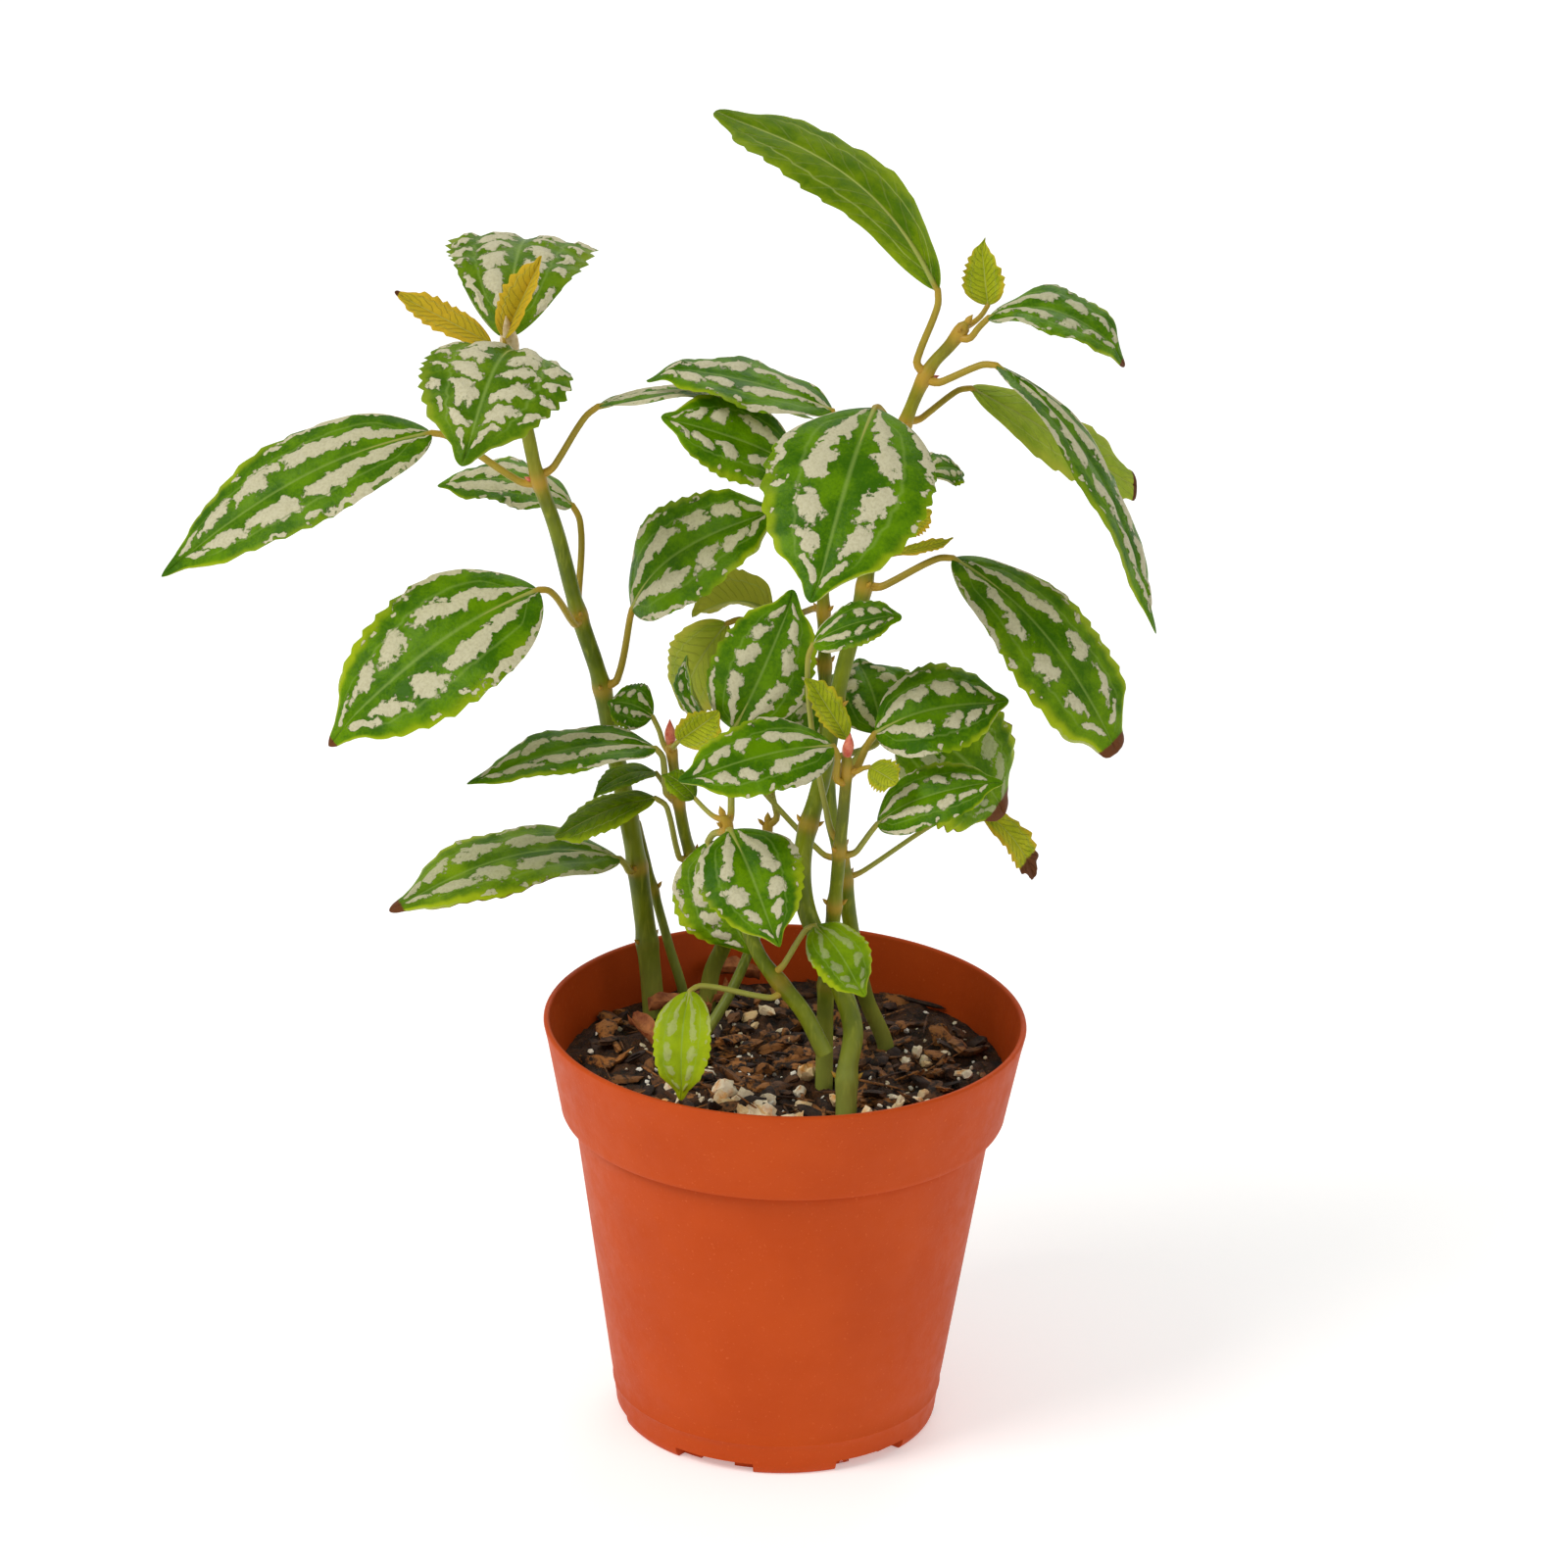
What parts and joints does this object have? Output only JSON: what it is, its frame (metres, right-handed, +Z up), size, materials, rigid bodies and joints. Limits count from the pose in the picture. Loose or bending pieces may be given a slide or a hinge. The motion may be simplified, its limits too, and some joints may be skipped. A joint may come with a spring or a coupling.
{
  "type": "potted aluminum plant",
  "caption": "Young aluminum plant with silver-striped leaves on slender stems, in a tapered plastic grower pot.",
  "frame": {"origin": "on the pot's axis, on the surface the pot stands on", "axes": "+Z up along the pot's axis, -Y towards the side that is seen from the front, +X to the right of it"},
  "size_m": [0.216, 0.108, 0.3054],
  "materials": {
    "pot_plastic": "matte moulded plastic, terracotta orange, darker inside",
    "potting_mix": "loose dark bark and peat with pale pumice chips",
    "green_stem": "smooth juicy olive-green stem",
    "striped_leaf": "glossy quilted green leaf with raised silver patches between the veins",
    "plain_leaf": "plain light green leaf, underside or shaded side shown",
    "young_leaf": "soft young leaf, yellow to orange"
  },
  "bodies": {
    "root": {"back_dark_leaf": "striped_leaf", "back_stem": "green_stem", "bud_edge_leaf": "plain_leaf", "bud_long_leaf": "striped_leaf", "bud_plain_leaf": "plain_leaf", "bud_small_leaf": "striped_leaf", "bud_yellow_leaf": "young_leaf", "centre_arched_leaf": "plain_leaf", "centre_drooping_leaf": "plain_leaf", "centre_edge_leaf": "striped_leaf", "centre_right_leaf": "striped_leaf", "centre_upright_leaf": "striped_leaf", "front_heart_leaf": "striped_leaf", "front_side_leaf": "striped_leaf", "front_small_leaf": "plain_leaf", "front_stem": "green_stem", "left_arching_leaf": "striped_leaf", "left_behind_leaf": "striped_leaf", "left_broad_leaf": "striped_leaf", "left_crown_back_leaf": "striped_leaf", "left_crown_front_leaf": "striped_leaf", "left_crown_upright_leaf": "young_leaf", "left_crown_yellow_leaf": "young_leaf", "left_inner_leaf": "striped_leaf", "left_long_leaf": "striped_leaf", "left_lowest_leaf": "striped_leaf", "left_side_stem": "green_stem", "left_stem": "green_stem", "low_left_leaf": "striped_leaf", "low_right_leaf": "striped_leaf", "pot": "pot_plastic", "potting_mix": "potting_mix", "red_bud_stem": "green_stem", "short_front_leaf": "striped_leaf", "short_lower_leaf": "striped_leaf", "short_right_stem": "green_stem", "short_tiny_leaf": "young_leaf", "short_upper_leaf": "striped_leaf", "short_yellow_leaf": "young_leaf", "slim_behind_leaf": "striped_leaf", "slim_large_leaf": "plain_leaf", "slim_right_stem": "green_stem", "slim_second_leaf": "striped_leaf", "slim_top_leaf": "striped_leaf", "slim_withered_leaf": "young_leaf", "tall_arching_leaf": "striped_leaf", "tall_behind_leaf": "plain_leaf", "tall_bit_leaf": "young_leaf", "tall_crown_leaf": "striped_leaf", "tall_front_leaf": "striped_leaf", "tall_hanging_leaf": "striped_leaf", "tall_right_stem": "green_stem", "tall_scrap_leaf": "striped_leaf", "tall_thin_leaf": "young_leaf", "tall_top_leaf": "plain_leaf", "tall_yellow_leaf": "young_leaf"}
  },
  "joints": []
}
